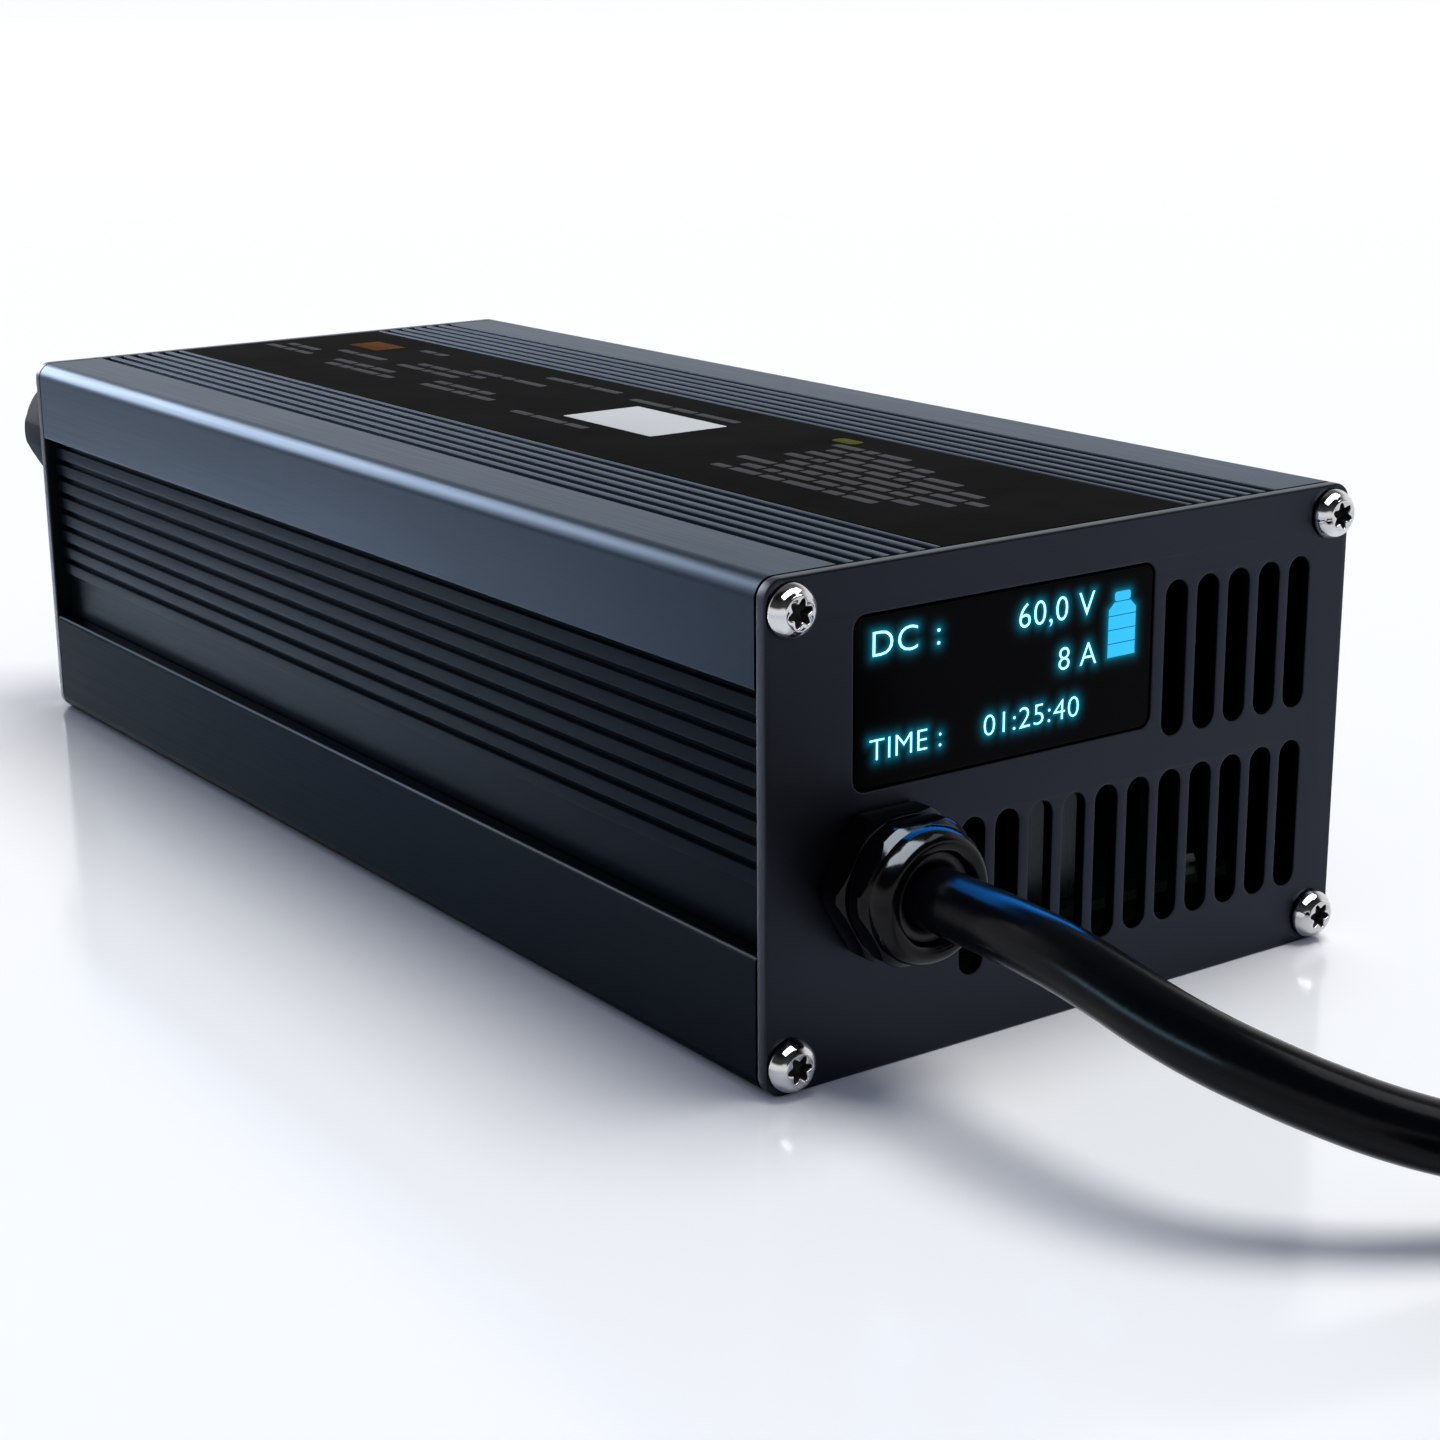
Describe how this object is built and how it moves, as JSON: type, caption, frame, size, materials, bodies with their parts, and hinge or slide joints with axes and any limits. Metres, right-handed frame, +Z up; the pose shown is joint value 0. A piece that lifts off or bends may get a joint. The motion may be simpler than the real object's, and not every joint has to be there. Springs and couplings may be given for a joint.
{
  "type": "electric scooter charger",
  "caption": "Ribbed extruded aluminium battery charger with end plates, lit display, vent slots, cable glands, inner fan and a coiled output cord with a round plug.",
  "frame": {"origin": "on the floor, under the middle of the case with its two glands, without the cord", "axes": "+X across the case, to the right seen from the front plate; +Y from the front plate to the rear plate; +Z up"},
  "size_m": [0.1416, 0.5041, 0.072],
  "materials": {
    "case_anodised": "dark blue-black satin anodising",
    "plate_anodised": "near-black satin anodising",
    "screw_steel": "polished",
    "display_glass": "polished black with lit figures",
    "display_board": "laminate",
    "label_film": "satin black film",
    "gland_plastic": "glossy black nylon",
    "seal_rubber": "matt",
    "cord_jacket": "glossy black jacket",
    "tie_fabric": "woven hook and loop",
    "plug_metal": "satin",
    "plug_plastic": "moulded",
    "boot_rubber": "matt",
    "board_laminate": "green solder mask",
    "brass": "turned",
    "film": "sheet",
    "ferrite": "sintered",
    "winding_tape": "yellow tape",
    "copper_wire": "enamelled",
    "capacitor_sleeve": "shrunk sleeve",
    "sink_aluminium": "extruded",
    "device_plastic": "moulded",
    "ceramic": "glazed tube",
    "relay_plastic": "moulded",
    "fan_plastic": "moulded"
  },
  "bodies": {
    "charger": {"upper_shell": "case_anodised", "lower_shell": "case_anodised", "front_plate": "plate_anodised", "rear_plate": "plate_anodised", "front_screw_1": "screw_steel", "front_screw_2": "screw_steel", "front_screw_3": "screw_steel", "front_screw_4": "screw_steel", "rear_screw_1": "screw_steel", "rear_screw_2": "screw_steel", "rear_screw_3": "screw_steel", "rear_screw_4": "screw_steel", "fan_screw_1": "screw_steel", "fan_screw_2": "screw_steel", "fan_screw_3": "screw_steel", "fan_screw_4": "screw_steel", "board_screw_1": "screw_steel", "board_screw_2": "screw_steel", "board_screw_3": "screw_steel", "board_screw_4": "screw_steel", "display_window": "display_glass", "display_panel": "display_board", "top_label": "label_film", "front_gland_body": "gland_plastic", "front_gland_locknut": "gland_plastic", "front_gland_nut": "gland_plastic", "rear_gland_body": "gland_plastic", "rear_gland_locknut": "gland_plastic", "rear_gland_nut": "gland_plastic", "front_gland_seal": "seal_rubber", "rear_gland_seal": "seal_rubber", "output_cord": "cord_jacket", "output_cord_coil": "cord_jacket", "output_cord_tail": "cord_jacket", "cord_tie_1": "tie_fabric", "cord_tie_2": "tie_fabric", "plug_shell": "plug_metal", "plug_insert": "plug_plastic", "plug_boot": "boot_rubber", "main_board": "board_laminate", "standoff_1": "brass", "standoff_2": "brass", "standoff_3": "brass", "standoff_4": "brass", "insulating_sheet": "film", "transformer_core": "ferrite", "transformer_winding": "winding_tape", "line_choke": "copper_wire", "output_inductor": "copper_wire", "bulk_capacitor_1": "capacitor_sleeve", "bulk_capacitor_2": "capacitor_sleeve", "input_heat_sink": "sink_aluminium", "output_heat_sink": "sink_aluminium", "power_transistor": "device_plastic", "rectifier": "device_plastic", "fuse": "ceramic", "relay": "relay_plastic", "fan_frame": "fan_plastic"},
    "rotor": {"fan_rotor": "fan_plastic"}
  },
  "joints": [
    {"name": "fan_spin", "type": "hinge", "parent": "charger", "child": "rotor", "pos_m": [0.022, 0.1075, 0.0357], "axis": [0, 1, 0], "continuous": true}
  ]
}
